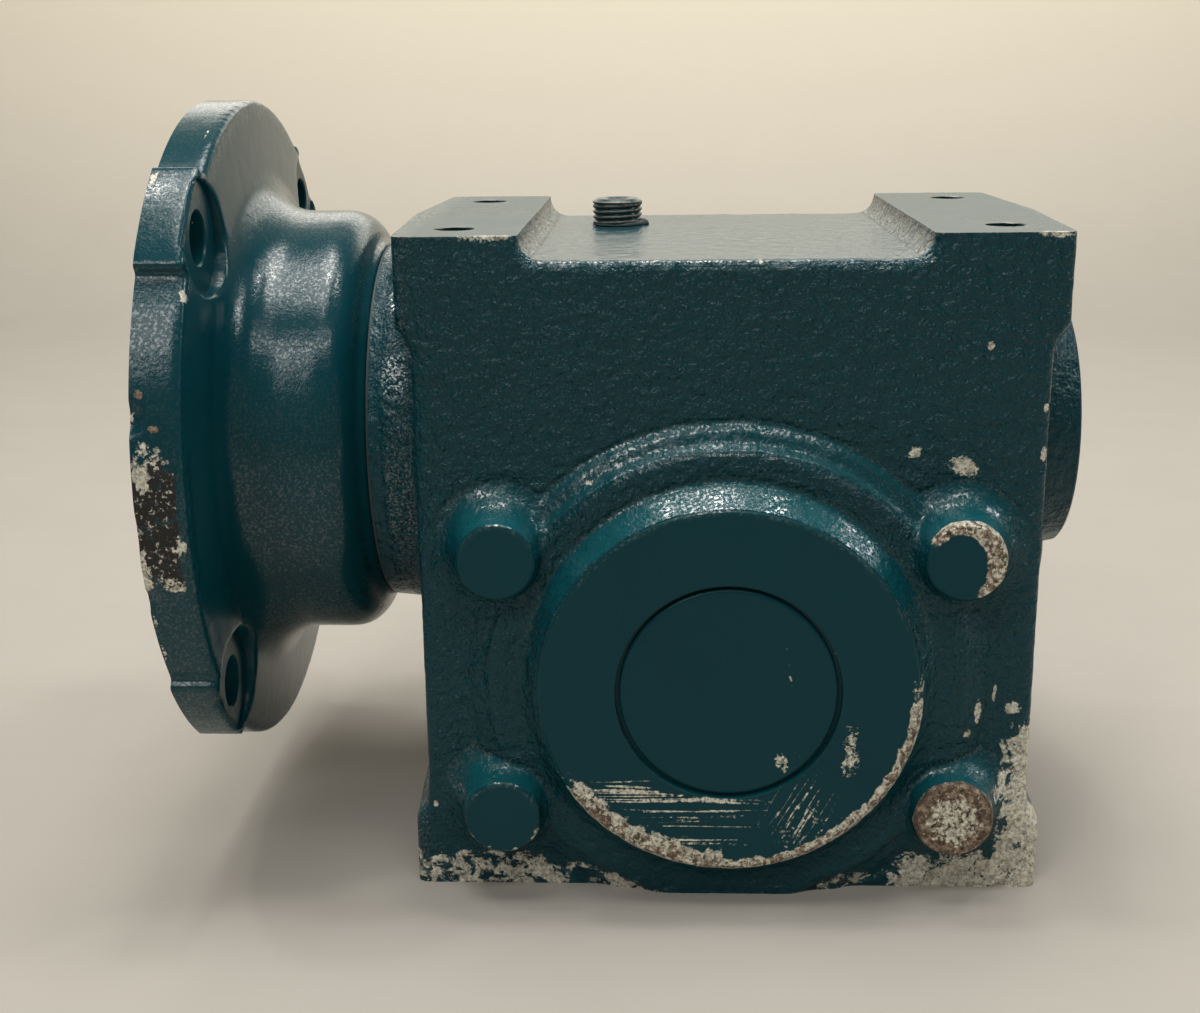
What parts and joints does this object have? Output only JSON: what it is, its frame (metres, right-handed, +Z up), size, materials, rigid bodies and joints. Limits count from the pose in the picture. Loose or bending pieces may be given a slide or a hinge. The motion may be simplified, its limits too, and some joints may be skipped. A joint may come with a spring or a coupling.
{
  "type": "right angle worm gear reducer",
  "caption": "Right angle worm gear reducer: cast housing with a stepped round boss, flanged motor adapter with hollow input quill, worm and bronze wheel, keyed output shaft.",
  "frame": {"origin": "on the base plane, at the middle of the four base holes, under the crossing of the two axes", "axes": "+Z up; +X along the worm from the motor flange to the closed end; +Y along the output shaft towards its free end"},
  "size_m": [0.2135, 0.2155, 0.1855],
  "materials": {
    "casting_paint": "dark teal enamel on sand-cast iron, chipped",
    "screw_steel": "zinc plated",
    "plug_steel": "oiled steel with thread sealant",
    "gasket_sheet": "pressed fibre",
    "seal_rubber": "nitrile",
    "spring_steel": "phosphated",
    "shaft_steel": "ground",
    "hub_iron": "machined",
    "wheel_bronze": "hobbed",
    "bearing_steel": "ground and polished",
    "cage_brass": "turned"
  },
  "bodies": {
    "case": {"housing": "casting_paint", "motor_adapter": "casting_paint", "adapter_bolts": "screw_steel", "adapter_gasket": "gasket_sheet", "input_oil_seal": "seal_rubber", "input_bearing_outer_ring": "bearing_steel", "input_retaining_ring": "spring_steel", "end_bearing_outer_ring": "bearing_steel", "end_retaining_ring": "spring_steel", "worm_end_cap": "casting_paint", "front_bearing_outer_ring": "bearing_steel", "front_retaining_ring": "spring_steel", "front_end_cap": "casting_paint", "rear_bearing_outer_ring": "bearing_steel", "output_cover": "casting_paint", "cover_gasket": "gasket_sheet", "cover_bolts": "screw_steel", "output_oil_seal": "seal_rubber", "fill_plug": "plug_steel", "drain_plug": "plug_steel"},
    "output": {"output_shaft": "shaft_steel", "wheel_hub": "hub_iron", "worm_wheel": "wheel_bronze", "wheel_key": "shaft_steel", "wheel_spacer": "shaft_steel", "front_bearing_inner_ring": "bearing_steel", "rear_bearing_inner_ring": "bearing_steel"},
    "worm": {"worm_shaft": "shaft_steel", "input_bearing_inner_ring": "bearing_steel", "end_bearing_inner_ring": "bearing_steel", "worm_shaft_ring": "spring_steel"},
    "input_balls": {"input_bearing_balls": "bearing_steel", "input_bearing_cage": "cage_brass"},
    "end_balls": {"end_bearing_balls": "bearing_steel", "end_bearing_cage": "cage_brass"},
    "front_balls": {"front_bearing_balls": "bearing_steel", "front_bearing_cage": "cage_brass"},
    "rear_balls": {"rear_bearing_balls": "bearing_steel", "rear_bearing_cage": "cage_brass"}
  },
  "joints": [
    {"name": "output_spin", "type": "hinge", "parent": "case", "child": "output", "pos_m": [0, 0, 0.054], "axis": [0, 1, 0], "continuous": true},
    {"name": "worm_spin", "type": "hinge", "parent": "case", "child": "worm", "pos_m": [0, 0, 0.104], "axis": [1, 0, 0], "continuous": true},
    {"name": "front_balls_spin", "type": "hinge", "parent": "case", "child": "front_balls", "pos_m": [0, 0, 0.054], "axis": [0, 1, 0], "continuous": true},
    {"name": "rear_balls_spin", "type": "hinge", "parent": "case", "child": "rear_balls", "pos_m": [0, 0, 0.054], "axis": [0, 1, 0], "continuous": true},
    {"name": "input_balls_spin", "type": "hinge", "parent": "case", "child": "input_balls", "pos_m": [0, 0, 0.104], "axis": [1, 0, 0], "continuous": true},
    {"name": "end_balls_spin", "type": "hinge", "parent": "case", "child": "end_balls", "pos_m": [0, 0, 0.104], "axis": [1, 0, 0], "continuous": true}
  ],
  "couplings": [
    {"joint": "worm_spin", "follows": "output_spin", "ratio": -30},
    {"joint": "front_balls_spin", "follows": "output_spin", "ratio": 0.39691},
    {"joint": "rear_balls_spin", "follows": "output_spin", "ratio": 0.39647},
    {"joint": "input_balls_spin", "follows": "output_spin", "ratio": -12.545},
    {"joint": "end_balls_spin", "follows": "output_spin", "ratio": -11.446}
  ]
}
